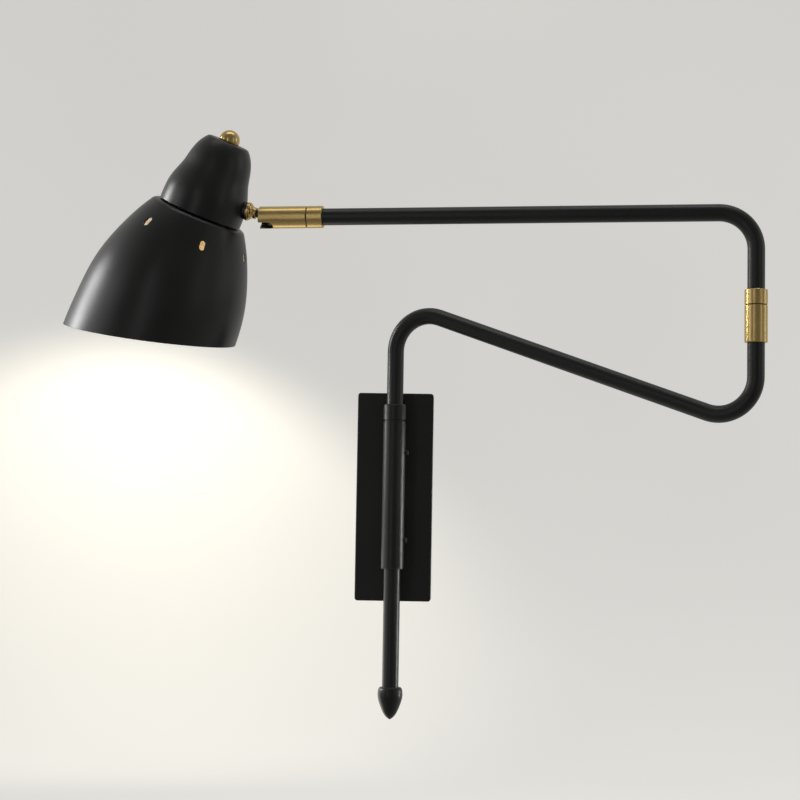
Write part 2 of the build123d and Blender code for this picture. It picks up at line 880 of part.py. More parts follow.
def turned_cap(outline, top_radius, top_height, foot):
    """A solid of revolution under the given cap outline."""
    lowest = outline[0]
    highest = outline[-1]
    with BuildPart() as form:
        with BuildSketch(head_section):
            with BuildLine():
                Polyline((0, foot), (lowest[0], foot), lowest)
                Spline(*outline)
                Polyline(highest, (top_radius, top_height), (0, top_height), (0, foot))
            make_face()
        revolve(axis=head_axis)
    return form.part


cap_outer_form = turned_cap(cap_outline, cap_top_flat, cap_height, -0.2)
cap_inner_form = turned_cap(cap_inner_outline[:-1], 19.6, cap_ceiling, -2.0)

with BuildPart() as shade_cap:
    add(cap_outer_form)
    with BuildSketch(across_head(-1)):
        Circle(cap_seat_radius + 5)
    extrude(amount=1, mode=Mode.SUBTRACT)
    add(cap_inner_form, mode=Mode.SUBTRACT)
    with BuildSketch(across_head(cap_ceiling - 1)):
        Circle(nipple_radius)
    extrude(amount=cap_wall + 2, mode=Mode.SUBTRACT)
    with BuildSketch(across_stud(stud_far_end)):
        Circle(4.1)
    extrude(amount=8, mode=Mode.SUBTRACT)
finish(shade_cap, "shade_cap")

# ---------------------------------------------------------------- head: stud
stud_pipe_radius = 4.0
stud_pipe_end = 34.5
stud_neck = [
    (stud_near_end + 0.4, 5.5),
    (stud_near_end + 2.4, 5.4),
    (stud_near_end + 4.6, 6.3),
    (stud_near_end + 6.0, 7.8),
]
disc_start = stud_near_end + 7.2
groove_radius = 7.2
disc_radius = 8.8
with BuildPart() as head_stud:
    with BuildSketch(stud_section):
        with BuildLine():
            Polyline(
                (stud_near_end, neck_radius + running_gap),
                (stud_near_end, 5.1),
                stud_neck[0],
            )
            Spline(*stud_neck)
            Polyline(
                stud_neck[-1],
                (disc_start - 1.0, groove_radius),
                (disc_start - 0.3, groove_radius),
                (disc_start, disc_radius - 0.3),
                (disc_start + 0.3, disc_radius),
                (stud_far_end - 0.3, disc_radius),
                (stud_far_end, disc_radius - 0.3),
                (stud_far_end, stud_pipe_radius),
                (stud_pipe_end, stud_pipe_radius),
                (stud_pipe_end, ball_lead_bore + 0.2),
                (neck_end + 0.2, ball_lead_bore + 0.2),
                (neck_end + 0.2, neck_radius + running_gap),
                (stud_near_end, neck_radius + running_gap),
            )
        make_face()
    revolve(axis=stud_line)
finish(head_stud, "head_stud")

with BuildPart() as stud_washer:
    with BuildSketch(across_stud(stud_far_end)):
        Circle(disc_radius - 0.5)
        Circle(stud_pipe_radius, mode=Mode.SUBTRACT)
    extrude(amount=5)
    add(cap_outer_form, mode=Mode.SUBTRACT)
finish(stud_washer, "stud_washer")

with BuildPart() as stud_nut:
    with BuildSketch(across_stud(cap_surface_from_ball + cap_wall + 1.2)):
        RegularPolygon(7.0, 6)
        Circle(stud_pipe_radius, mode=Mode.SUBTRACT)
    extrude(amount=4)
finish(stud_nut, "stud_nut")

# ---------------------------------------------------------------- head: nipple and ball nut
nipple_bottom = 43.0
nipple_top = cap_height + 5.0
make_ring(
    "threaded_nipple",
    across_head(nipple_bottom),
    nipple_top - nipple_bottom,
    nipple_radius,
    3.4,
)

ball_nut_centre = cap_height + 2.0
with BuildPart() as cap_ball_nut:
    with Locations(head_origin + head_up * ball_nut_centre):
        Sphere(ball_nut_radius)
    with BuildSketch(across_head(cap_height)):
        Circle(ball_nut_radius + 1)
    extrude(amount=-ball_nut_radius, mode=Mode.SUBTRACT)
    with BuildSketch(across_head(cap_height)):
        Circle(nipple_radius)
    extrude(amount=nipple_top - cap_height, mode=Mode.SUBTRACT)
finish(cap_ball_nut, "cap_ball_nut")

with BuildPart() as nipple_nut:
    with BuildSketch(across_head(cap_ceiling)):
        RegularPolygon(8.5, 6)
        Circle(nipple_radius, mode=Mode.SUBTRACT)
    extrude(amount=-4)
finish(nipple_nut, "nipple_nut")

# ---------------------------------------------------------------- head: lamp holder
holder_joint = 26.0
holder_top = 46.0
holder_wall = 2.0
lead_entry = 11.0
with BuildPart() as holder_cap:
    with BuildSketch(head_section):
        with BuildLine():
            Polyline(
                (nipple_radius, holder_top),
                (13.5, holder_top),
                (holder_radius, holder_top - 8),
                (holder_radius, holder_joint),
                (holder_radius - holder_wall, holder_joint),
                (holder_radius - holder_wall, holder_top - 9),
                (12.6, nipple_bottom),
                (nipple_radius, nipple_bottom),
                close=True,
            )
        make_face()
    revolve(axis=head_axis)
    with BuildSketch(across_head(nipple_bottom - 3)):
        with Locations((lead_entry, 0)):
            Circle(lead_radius + 0.3)
    extrude(amount=8, mode=Mode.SUBTRACT)
finish(holder_cap, "holder_cap")

holder_bore = 14.4
holder_floor = 19.0
flange_radius = 23.0
flange_top = 0.4
with BuildPart() as holder_body:
    with BuildSketch(head_section):
        with BuildLine():
            Polyline(
                (4.0, holder_floor),
                (holder_bore, holder_floor),
                (holder_bore, holder_bottom),
                (holder_radius - 1, holder_bottom),
                (holder_radius, holder_bottom + 1),
                (holder_radius, -shade_gap),
                (flange_radius, -shade_gap),
                (flange_radius, flange_top),
                (holder_radius, flange_top),
                (holder_radius, holder_joint),
                (4.0, holder_joint),
                close=True,
            )
        make_face()
    revolve(axis=head_axis)
finish(holder_body, "holder_body")

shell_bottom = -11.0
make_ring(
    "screw_shell",
    across_head(shell_bottom),
    15.0 - shell_bottom,
    holder_bore,
    holder_bore - 0.5,
)

with BuildPart() as centre_contact:
    with BuildSketch(across_head(holder_floor)):
        Circle(6)
    extrude(amount=-0.8)
    with BuildSketch(across_head(holder_floor - 0.8)):
        Circle(3)
    extrude(amount=-1.6)
finish(centre_contact, "centre_contact")

shade_top = -shade_gap
plate_thickness = 1.5
ring_height = 5.0
with BuildPart() as shade_ring:
    with BuildSketch(across_head(shade_top - plate_thickness)):
        Circle(flange_radius + 1)
        Circle(holder_radius, mode=Mode.SUBTRACT)
    extrude(amount=-ring_height)
    with BuildSketch(across_head(shade_top - plate_thickness - 1)):
        with PolarLocations(flange_radius + 1, 24):
            Circle(0.5)
    extrude(amount=-ring_height, mode=Mode.SUBTRACT)
finish(shade_ring, "shade_ring")

# ---------------------------------------------------------------- head: bulb
bulb_foot = -9.0
bulb_radius = 30.0
bulb_middle = -66.0
bulb_wall = 1.0
bulb_outline = [
    (13.0, bulb_foot),
    (13.6, -20),
    (17.2, -34),
    (25.0, -50),
    (bulb_radius, bulb_middle),
]


def bulb_form(shrink):
    """The solid form of the bulb's glass, made smaller all round by the given amount."""
    side = [(radius - shrink, height) for radius, height in bulb_outline]
    round_end = bulb_radius - shrink
    with BuildPart() as form:
        with BuildSketch(head_section):
            with BuildLine():
                Line((0, bulb_foot), side[0])
                Spline(*side, tangents=((0, -1), (0, -1)))
                CenterArc((0, bulb_middle), round_end, 0, -90)
                Line((0, bulb_middle - round_end), (0, bulb_foot))
            make_face()
        revolve(axis=head_axis)
    return form.part


with BuildPart() as bulb_glass:
    add(bulb_form(0))
    add(bulb_form(bulb_wall), mode=Mode.SUBTRACT)
finish(bulb_glass, "bulb_glass")

base_top = 13.0
with BuildPart() as bulb_base:
    with BuildSketch(head_section):
        with BuildLine():
            Polyline(
                (0, bulb_foot),
                (13.2, bulb_foot),
                (13.2, base_top - 2),
                (11.5, base_top),
                (6.0, base_top + 2.4),
                (4.6, base_top + 3.4),
                (0, base_top + 3.4),
                close=True,
            )
        make_face()
    revolve(axis=head_axis)
finish(bulb_base, "bulb_base")

# ---------------------------------------------------------------- head: shade
shade_outline = [
    (80.8, -159.6),
    (80.9, -136.1),
    (79.9, -110.1),
    (77.6, -83.9),
    (73.1, -62.9),
    (65.9, -42.0),
    (56.6, -21.0),
    (50.9, -10.5),
    (47.7, -5.2),
]
shade_inner_outline = inset(shade_outline, shade_wall)
shade_shoulder = 43.8
shade_corner = (46.4, -3.4)
rim_slope = (rim_depth_long - rim_depth_short) / (2 * rim_radius)
rim_middle = (rim_depth_long + rim_depth_short) / 2
rim_normal = head_up - head_out * rim_slope
rim_plane = Plane(origin=head_origin - head_up * rim_middle, z_dir=rim_normal)

with BuildPart() as shade:
    with BuildSketch(head_section):
        with BuildLine():
            Spline(*shade_outline)
            Polyline(
                shade_outline[-1],
                shade_corner,
                (shade_shoulder, shade_top),
                (holder_radius + 0.2, shade_top),
                (holder_radius + 0.2, shade_top - plate_thickness),
                (shade_shoulder - 0.8, shade_top - plate_thickness),
                shade_inner_outline[-1],
            )
            Spline(*reversed(shade_inner_outline))
            Line(shade_inner_outline[0], shade_outline[0])
        make_face()
    revolve(axis=head_axis)
    split(bisect_by=rim_plane, keep=Keep.TOP)
    for number in range(vent_count):
        turn = radians(vent_first_angle + number * 360 / vent_count)
        outwards = head_out * cos(turn) + head_back * sin(turn)
        vent_point = head_origin + outwards * vent_radius - head_up * vent_depth
        slope = radians(vent_slope)
        vent_normal = outwards * cos(slope) + head_up * sin(slope)
        along_vent = head_up * cos(slope) - outwards * sin(slope)
        vent_plane = Plane(origin=vent_point, x_dir=along_vent, z_dir=vent_normal)
        with BuildSketch(vent_plane):
            SlotOverall(vent_length, vent_width)
        extrude(amount=4, both=True, mode=Mode.SUBTRACT)
finish(shade, "shade")


# ---------------------------------------------------------------- leads held inside the lamp
def make_lead(name, plane, points, radii, start, direction):
    """A round lead along straight runs joined by arcs, its points given in a plane."""
    with BuildPart() as lead:
        with BuildLine(plane) as route:
            if radii:
                FilletPolyline(*points, radius=radii)
            else:
                Line(*points)
        with BuildSketch(Plane(origin=start, z_dir=direction)):
            Circle(lead_radius)
        sweep(path=route.line)
    finish(lead, name)


supply_y = -9.0
supply_x = 12.0
terminal_top = terminal_centre + terminal_height / 2
make_lead(
    "supply_lead",
    Plane.XY,
    [
        (supply_x, supply_y, terminal_top),
        (supply_x, supply_y, -32),
        (0, supply_y, lead_post_height),
        (0, barrel_axis_y, lead_post_height),
        (0, barrel_axis_y, stem_foot - 0.4),
    ],
    5.0,
    (supply_x, supply_y, terminal_top),
    (0, 0, 1),
)

lead_split = elbow_seam - 8.7
make_lead(
    "lower_arm_lead",
    stem_section,
    [
        (0, stem_foot),
        (0, upper_bend_z),
        (lower_arm_reach, lower_bend_z),
        (lower_arm_reach, lead_split),
    ],
    bend_radius,
    (0, barrel_axis_y, stem_foot),
    (0, 0, 1),
)

upper_lead_end = upper_arm_reach - ball_radius - 2.0
make_lead(
    "upper_arm_lead",
    elbow_section,
    [(0, lead_split + 0.3), (0, arm_height), (upper_lead_end, arm_height)],
    bend_radius,
    elbow_point + vertical * (lead_split + 0.3),
    (0, 0, 1),
)

stud_end_out = ball_out - stud_pipe_end * cos(radians(stud_rise))
stud_end_up = ball_up - stud_pipe_end * sin(radians(stud_rise))
lead_start = 1.0
head_lead_start = (
    ball_out - lead_start * cos(radians(stud_rise)),
    ball_up - lead_start * sin(radians(stud_rise)),
)
make_lead(
    "head_lead",
    head_section,
    [
        head_lead_start,
        (stud_end_out - 4 * cos(radians(stud_rise)), stud_end_up - 4 * sin(radians(stud_rise))),
        (24.5, 47),
        (17.5, 57),
        (lead_entry, 49),
        (lead_entry, nipple_bottom - 1),
    ],
    4.5,
    head_origin + head_out * head_lead_start[0] + head_up * head_lead_start[1],
    from_ball,
)
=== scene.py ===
import json
import math

import bmesh
import bpy
import numpy as np
from mathutils import Matrix, Vector


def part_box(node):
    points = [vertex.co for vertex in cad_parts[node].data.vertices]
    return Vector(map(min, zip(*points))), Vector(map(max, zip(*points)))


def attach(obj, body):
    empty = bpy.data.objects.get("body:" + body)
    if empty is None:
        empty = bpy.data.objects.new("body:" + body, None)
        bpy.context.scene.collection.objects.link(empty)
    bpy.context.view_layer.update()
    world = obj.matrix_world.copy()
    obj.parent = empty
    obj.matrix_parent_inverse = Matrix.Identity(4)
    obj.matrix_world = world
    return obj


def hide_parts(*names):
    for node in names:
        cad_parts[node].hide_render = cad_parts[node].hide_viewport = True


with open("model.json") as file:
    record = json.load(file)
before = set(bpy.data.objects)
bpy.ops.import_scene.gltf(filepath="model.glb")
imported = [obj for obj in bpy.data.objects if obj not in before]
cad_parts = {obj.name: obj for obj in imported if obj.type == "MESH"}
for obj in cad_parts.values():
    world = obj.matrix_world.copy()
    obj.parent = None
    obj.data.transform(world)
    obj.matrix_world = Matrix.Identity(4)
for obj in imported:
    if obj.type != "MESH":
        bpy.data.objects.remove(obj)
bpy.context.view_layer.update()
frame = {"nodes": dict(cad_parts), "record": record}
nodes = frame["nodes"]
record = frame["record"]
scene = bpy.context.scene
scene.view_settings.view_transform = "Standard"

MM = 0.001


# ------------------------------------------------------------------ places read from the frame
def middle(node):
    low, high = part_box(node)
    return (Vector(low) + Vector(high)) / 2


joints = {joint["name"]: joint for joint in record["behaviour"]["joints"]}
ball_point = Vector(joints["head_tilt"]["pos_m"])
stud_axis = Vector(joints["head_spin"]["axis"]).normalized()
arm_axis = Vector(joints["head_roll"]["axis"]).normalized()
up_axis = Vector((0, 0, 1))

# The nipple and the screw shell are plain tubes on the head's axis, 58 mm apart, middle to middle.
shell_middle = middle("screw_shell")
shell_above_origin = 2.0
head_up = (middle("threaded_nipple") - shell_middle).normalized()
head_origin = shell_middle - head_up * shell_above_origin * MM
to_ball = ball_point - head_origin
head_out = (to_ball - head_up * to_ball.dot(head_up)).normalized()
head_back = head_up.cross(head_out)


def axes_matrix(origin, x_axis, y_axis, z_axis):
    """Matrix that places a piece, built about its own axes, in the frame of the lamp."""
    turn = Matrix((x_axis, y_axis, z_axis)).transposed().to_4x4()
    return Matrix.Translation(origin) @ turn


head_matrix = axes_matrix(head_origin, head_out, head_back, head_up)


# ------------------------------------------------------------------ material helpers
class Build:
    """A node material under construction: adds nodes and links them in one call."""

    def __init__(self, name):
        self.material = bpy.data.materials.new(name)
        self.material.use_nodes = True
        self.tree = self.material.node_tree
        self.shader = self.tree.nodes["Principled BSDF"]

    def node(self, kind, links=None, **settings):
        made = self.tree.nodes.new(kind)
        for key, value in settings.items():
            setattr(made, key, value)
        for socket, source in (links or {}).items():
            if isinstance(source, (int, float, tuple)):
                made.inputs[socket].default_value = source
            else:
                self.tree.links.new(source, made.inputs[socket])
        return made

    def link(self, source, socket):
        self.tree.links.new(source, self.shader.inputs[socket])

    def set(self, **values):
        for key, value in values.items():
            self.shader.inputs[key.replace("_", " ")].default_value = value

    def coordinates(self):
        return self.node("ShaderNodeTexCoord").outputs["Object"]

    def noise(self, vector, scale, detail=3.0, roughness=0.5):
        links = {"Vector": vector, "Scale": scale, "Detail": detail}
        made = self.node("ShaderNodeTexNoise", links)
        made.inputs["Roughness"].default_value = roughness
        return made.outputs["Fac"]

    def spread(self, value, low, high, start=0.3, end=0.7):
        links = {
            "Value": value,
            "From Min": start,
            "From Max": end,
            "To Min": low,
            "To Max": high,
        }
        return self.node("ShaderNodeMapRange", links).outputs["Result"]

    def mix_colours(self, factor, first, second):
        made = self.node("ShaderNodeMix", data_type="RGBA")
        self.tree.links.new(factor, made.inputs[0])
        for index, colour in ((6, first), (7, second)):
            if isinstance(colour, tuple):
                made.inputs[index].default_value = (*colour, 1)
            else:
                self.tree.links.new(colour, made.inputs[index])
        return made.outputs[2]

    def bump(self, height, strength, distance):
        links = {"Height": height, "Strength": strength, "Distance": distance}
        self.link(self.node("ShaderNodeBump", links).outputs["Normal"], "Normal")

    def along(self, vector, axis, fine, coarse):
        """Coordinates squeezed along an axis, so that a noise runs in streaks along it."""
        dot = self.node(
            "ShaderNodeVectorMath", {0: vector, 1: tuple(axis)}, operation="DOT_PRODUCT"
        )
        share = self.node(
            "ShaderNodeMath", {0: dot.outputs["Value"], 1: fine - coarse}, operation="MULTIPLY"
        )
        part = self.node(
            "ShaderNodeVectorMath", {0: tuple(axis), "Scale": share.outputs[0]}, operation="SCALE"
        )
        whole = self.node(
            "ShaderNodeVectorMath", {0: vector, "Scale": fine}, operation="SCALE"
        )
        return self.node(
            "ShaderNodeVectorMath",
            {0: whole.outputs[0], 1: part.outputs[0]},
            operation="SUBTRACT",
        ).outputs[0]

    def around(self, vector, centre, axis):
        """Coordinates of a turned finish: height along the axis and distance from it."""
        local = self.node(
            "ShaderNodeVectorMath", {0: vector, 1: tuple(centre)}, operation="SUBTRACT"
        ).outputs[0]
        height = self.node(
            "ShaderNodeVectorMath", {0: local, 1: tuple(axis)}, operation="DOT_PRODUCT"
        ).outputs["Value"]
        rise = self.node(
            "ShaderNodeVectorMath", {0: tuple(axis), "Scale": height}, operation="SCALE"
        ).outputs[0]
        flat = self.node(
            "ShaderNodeVectorMath", {0: local, 1: rise}, operation="SUBTRACT"
        ).outputs[0]
        radius = self.node(
            "ShaderNodeVectorMath", {0: flat}, operation="LENGTH"
        ).outputs["Value"]
        return self.node(
            "ShaderNodeCombineXYZ", {0: height, 1: radius}
        ).outputs[0]


def powder_coat(name, colour, roughness=0.37):
    """Satin powder coat: a fine orange peel, slow changes of gloss, and a few dust specks."""
    build = Build(name)
    place = build.coordinates()
    peel = build.noise(place, 900.0, 2.0)
    cloud = build.noise(place, 16.0, 4.0)
    fleck = build.noise(place, 2600.0, 1.0)
    lighter = tuple(channel * 1.7 + 0.002 for channel in colour)
    dusty = tuple(channel + 0.035 for channel in colour)
    base = build.mix_colours(build.spread(cloud, 0.0, 1.0), colour, lighter)
    speck = build.spread(fleck, 0.0, 0.5, 0.72, 0.8)
    build.link(build.mix_colours(speck, base, dusty), "Base Color")
    build.link(build.spread(cloud, roughness - 0.04, roughness + 0.05), "Roughness")
    build.bump(peel, 0.12, 0.0002)
    build.set(Specular_IOR_Level=0.42)
    return build.material


def metal(name, colour, roughness, axis=None, centre=None, streak=0.16):
    """Metal with a brushed finish along an axis, or a turned finish around it when a centre is given."""
    build = Build(name)
    place = build.coordinates()
    if axis is None:
        lines = build.noise(place, 1200.0, 2.0)
    elif centre is None:
        lines = build.noise(build.along(place, axis, 4200.0, 60.0), 1.0, 4.0, 0.65)
    else:
        lines = build.noise(build.around(place, centre, axis), 3500.0, 3.0, 0.6)
    cloud = build.noise(place, 60.0, 3.0)
    dark = tuple(channel * (1 - 2.2 * streak) for channel in colour)
    bright = tuple(min(channel * (1 + streak), 1.0) for channel in colour)
    tone = build.mix_colours(build.spread(lines, 0.0, 1.0), dark, bright)
    worn = tuple(channel * 0.8 for channel in colour)
    build.link(
        build.mix_colours(build.spread(cloud, 0.0, 0.5, 0.45, 0.75), tone, worn), "Base Color"
    )
    build.link(build.spread(lines, roughness - 0.06, roughness + 0.1), "Roughness")
    build.bump(lines, 0.15, 0.0001)
    build.set(Metallic=1.0)
    return build.material


def plastic(name, colour, roughness, bump=0.1, grain=1500.0):
    """Moulded plastic or rubber with a fine grain and slight changes of tone."""
    build = Build(name)
    place = build.coordinates()
    fine = build.noise(place, grain, 2.0)
    cloud = build.noise(place, 45.0, 3.0)
    shade = tuple(channel * 0.82 for channel in colour)
    build.link(build.mix_colours(build.spread(cloud, 0.0, 1.0), colour, shade), "Base Color")
    build.link(build.spread(cloud, roughness - 0.05, roughness + 0.07), "Roughness")
    build.bump(fine, bump, 0.0002)
    return build.material


def glowing_glass(name, colour, axis, neck, round_end, dim, bright):
    """Opal glass lit from inside: dim at its neck and bright at its round end."""
    build = Build(name)
    place = build.coordinates()
    height = build.node(
        "ShaderNodeVectorMath", {0: place, 1: tuple(axis)}, operation="DOT_PRODUCT"
    ).outputs["Value"]
    build.link(build.spread(height, bright, dim, round_end, neck), "Emission Strength")
    cloud = build.noise(place, 25.0, 2.0)
    deeper = tuple(channel * 0.93 for channel in colour)
    tone = build.mix_colours(build.spread(cloud, 0.0, 1.0), colour, deeper)
    build.link(tone, "Base Color")
    build.link(tone, "Emission Color")
    build.link(build.spread(cloud, 0.12, 0.22), "Roughness")
    return build.material


coat_black = (0.0035, 0.0035, 0.0032)
brass_tone = (0.60, 0.43, 0.17)
coat = powder_coat("satin_black_coat", coat_black)
inner_white = powder_coat("white_inner_coat", (0.80, 0.78, 0.74), 0.45)
brass_upright = metal("brass_brushed_upright", brass_tone, 0.27, up_axis)
brass_arm = metal("brass_brushed_along_arm", brass_tone, 0.27, arm_axis)
brass_stud = metal("brass_turned_stud", brass_tone, 0.22, stud_axis, ball_point)
brass_nut = metal("brass_turned_ball_nut", brass_tone, 0.2, head_up, head_origin, 0.08)
brass_contact = metal("brass_contact", (0.7, 0.52, 0.22), 0.3)
black_steel = metal("black_oxide_steel", (0.055, 0.055, 0.06), 0.36)
zinc = metal("zinc_plated_steel", (0.60, 0.61, 0.63), 0.34)
bulb_metal = metal("bulb_cap_metal", (0.75, 0.75, 0.76), 0.3, head_up, head_origin)
black_nylon = plastic("black_nylon", (0.012, 0.012, 0.012), 0.55)
natural_nylon = plastic("natural_nylon", (0.72, 0.70, 0.64), 0.5)
rubber = plastic("grommet_rubber", (0.016, 0.016, 0.016), 0.7, 0.2, 900.0)
phenolic = plastic("black_phenolic", (0.012, 0.010, 0.009), 0.25, 0.04)
jacket = plastic("lead_jacket", (0.018, 0.018, 0.019), 0.48)
bulb_heights = [head_up.dot(vertex.co) for vertex in nodes["bulb_glass"].data.vertices]
bulb_middle = (min(bulb_heights) + max(bulb_heights)) / 2
opal = glowing_glass(
    "opal_glass_lit",
    (1.0, 0.72, 0.34),
    axis=head_up,
    neck=bulb_middle,
    round_end=min(bulb_heights),
    dim=0.12,
    bright=1.3,
)

slot_looks = {
    "black_powder_coat": coat,
    "satin_brass": brass_upright,
    "black_steel": black_steel,
    "zinc_steel": zinc,
    "contact_brass": brass_contact,
    "bulb_cap_metal": bulb_metal,
    "black_nylon": black_nylon,
    "natural_nylon": natural_nylon,
    "grommet_rubber": rubber,
    "black_phenolic": phenolic,
    "opal_glass": opal,
    "lead_jacket": jacket,
}
node_looks = {
    "head_ring": brass_arm,
    "swivel_sleeve": brass_arm,
    "head_stud": brass_stud,
    "cap_ball_nut": brass_nut,
}
for part in record["subparts"]:
    node = part["node"]
    look = node_looks.get(node, slot_looks[part["material_slot"]])
    for index in range(len(nodes[node].data.materials)):
        nodes[node].data.materials[index] = look


# ------------------------------------------------------------------ mesh helpers
def smooth_through(points, count):
    """A natural cubic spline through the points, as evenly spaced points along it."""
    knots = np.array(points, dtype=float)
    steps = np.linalg.norm(np.diff(knots, axis=0), axis=1)
    at = np.concatenate(([0.0], np.cumsum(steps)))
    size = len(at)
    system = np.eye(size)
    right = np.zeros((size, 2))
    for row in range(1, size - 1):
        before = at[row] - at[row - 1]
        after = at[row + 1] - at[row]
        system[row, row - 1 : row + 2] = before, 2 * (before + after), after
        rise = (knots[row + 1] - knots[row]) / after - (knots[row] - knots[row - 1]) / before
        right[row] = 6 * rise
    bend = np.linalg.solve(system, right)
    found = []
    for value in np.linspace(0, at[-1], count):
        cell = min(int(np.searchsorted(at, value, side="right")) - 1, size - 2)
        width = at[cell + 1] - at[cell]
        left = (at[cell + 1] - value) / width
        gone = 1 - left
        curve = (left**3 - left) * bend[cell] + (gone**3 - gone) * bend[cell + 1]
        found.append(left * knots[cell] + gone * knots[cell + 1] + curve * width**2 / 6)
    return np.array(found)


def offset_profile(profile, amount):
    """The profile moved square to itself, to its left, by the amount."""
    slope = np.gradient(profile, axis=0)
    slope /= np.linalg.norm(slope, axis=1)[:, None]
    return profile + amount * np.stack((-slope[:, 1], slope[:, 0]), axis=1)


def add_object(name, mesh, matrix=None):
    piece = bpy.data.objects.new(name, mesh)
    scene.collection.objects.link(piece)
    if matrix is not None:
        mesh.transform(matrix)
    return piece


def grid_mesh(name, rings, zones, materials, closed=True):
    """A mesh of quads between rings of points. Each zone names the material of the band after a ring."""
    mesh = bmesh.new()
    rows = [[mesh.verts.new(point) for point in ring] for ring in rings]
    count = len(rows[0])
    bands = len(rows) if closed else len(rows) - 1
    for band in range(bands):
        low, high = rows[band], rows[(band + 1) % len(rows)]
        for step in range(count):
            after = (step + 1) % count
            face = mesh.faces.new((low[step], low[after], high[after], high[step]))
            face.material_index = zones[band]
            face.smooth = True
    bmesh.ops.recalc_face_normals(mesh, faces=mesh.faces)
    data = bpy.data.meshes.new(name)
    mesh.to_mesh(data)
    mesh.free()
    for material in materials:
        data.materials.append(material)
    return data


# ------------------------------------------------------------------ shade
# Radius and height of the outer surface in millimetres, from the foot of the cap down.
shade_outline = [
    (47.7, -5.2),
    (50.9, -10.5),
    (56.6, -21.0),
    (65.9, -42.0),
    (73.1, -62.9),
    (77.6, -83.9),
    (79.9, -110.1),
    (80.9, -136.1),
    (80.8, -159.6),
]
shade_wall = 1.0
plate_top = -1.8
plate_bottom = -3.3
plate_hole = 19.7
plate_flat = 30.0
bead_steps = 7
rim_middle = -127.5
rim_slope = 0.2741
turns = 240
side_steps = 130
shoulder = smooth_through([(43.8, plate_top), (46.4, -3.4), shade_outline[0]], 9)[:-1]
outer_side = smooth_through(shade_outline, 400)
inner_side = offset_profile(outer_side, -shade_wall)
inner_shoulder = smooth_through([(43.1, plate_bottom), (45.3, -4.3), tuple(inner_side[0])], 9)


def down_to_rim(profile, angle, count):
    """The part of a side profile above the slanting rim, at one angle, in even steps."""
    rim = rim_middle + rim_slope * profile[:, 0] * math.cos(angle)
    above = profile[:, 1] - rim
    cell = int(np.argmax(above < 0))
    share = above[cell - 1] / (above[cell - 1] - above[cell])
    end = cell - 1 + share
    at = np.linspace(0, end, count)
    index = np.arange(len(profile))
    return np.stack(
        (np.interp(at, index, profile[:, 0]), np.interp(at, index, profile[:, 1])), axis=1
    )


def shade_profile(angle):
    """One closed section of the shade: plate, outer side, rounded rim, inner side."""
    outer = down_to_rim(outer_side, angle, side_steps)
    inner = down_to_rim(inner_side, angle, side_steps)
    end = (outer[-1] + inner[-1]) / 2
    half = (outer[-1] - inner[-1]) / 2
    along = outer[-1] - outer[-2]
    along = along / np.linalg.norm(along) * np.linalg.norm(half)
    bead = [
        end + half * math.cos(turn) + along * math.sin(turn)
        for turn in np.linspace(0, math.pi, bead_steps)[1:-1]
    ]
    top = [(plate_hole, plate_top), (plate_flat, plate_top)]
    under = [(plate_flat, plate_bottom), (plate_hole, plate_bottom)]
    parts = [top, shoulder, outer, bead, inner[::-1], inner_shoulder[:-1][::-1], under]
    zones = []
    for number, part in enumerate(parts):
        zones += [0 if number < 3 else 1] * len(part)
    zones[len(parts[0]) + len(parts[1]) + len(parts[2]) + 1] = 0
    return np.concatenate([np.array(part, dtype=float) for part in parts]), zones


columns = []
for step in range(turns):
    angle = 2 * math.pi * step / turns
    profile, zones = shade_profile(angle)
    columns.append(
        [
            Vector((r * math.cos(angle), r * math.sin(angle), h)) * MM
            for r, h in profile
        ]
    )
rings = [[column[row] for column in columns] for row in range(len(zones))]
shade_mesh = grid_mesh("shade_spun", rings, zones, [coat, inner_white])


def slot_prism(length, width, depth, matrix, steps=16):
    """A bar with round ends, used to cut a vent."""
    mesh = bmesh.new()
    outline = []
    reach = (length - width) / 2
    for side, start in ((1, -math.pi / 2), (-1, math.pi / 2)):
        for turn in np.linspace(start, start + math.pi, steps):
            outline.append(
                (side * reach + width / 2 * math.cos(turn), width / 2 * math.sin(turn))
            )
    low = [mesh.verts.new(matrix @ (Vector((x, y, -depth)) * MM)) for x, y in outline]
    high = [mesh.verts.new(matrix @ (Vector((x, y, depth)) * MM)) for x, y in outline]
    mesh.faces.new(low[::-1])
    mesh.faces.new(high)
    for index in range(len(low)):
        after = (index + 1) % len(low)
        mesh.faces.new((low[index], low[after], high[after], high[index]))
    bmesh.ops.recalc_face_normals(mesh, faces=mesh.faces)
    data = bpy.data.meshes.new("vent_cutter")
    mesh.to_mesh(data)
    mesh.free()
    data.materials.append(coat)
    return data


def cut(piece, cutters):
    """Cuts the cutters out of the piece for good."""
    for cutter in cutters:
        change = piece.modifiers.new("cut", "BOOLEAN")
        change.operation = "DIFFERENCE"
        change.solver = "EXACT"
        change.object = cutter
    graph = bpy.context.evaluated_depsgraph_get()
    made = bpy.data.meshes.new_from_object(piece.evaluated_get(graph))
    piece.modifiers.clear()
    piece.data = made
    for cutter in cutters:
        bpy.data.objects.remove(cutter)


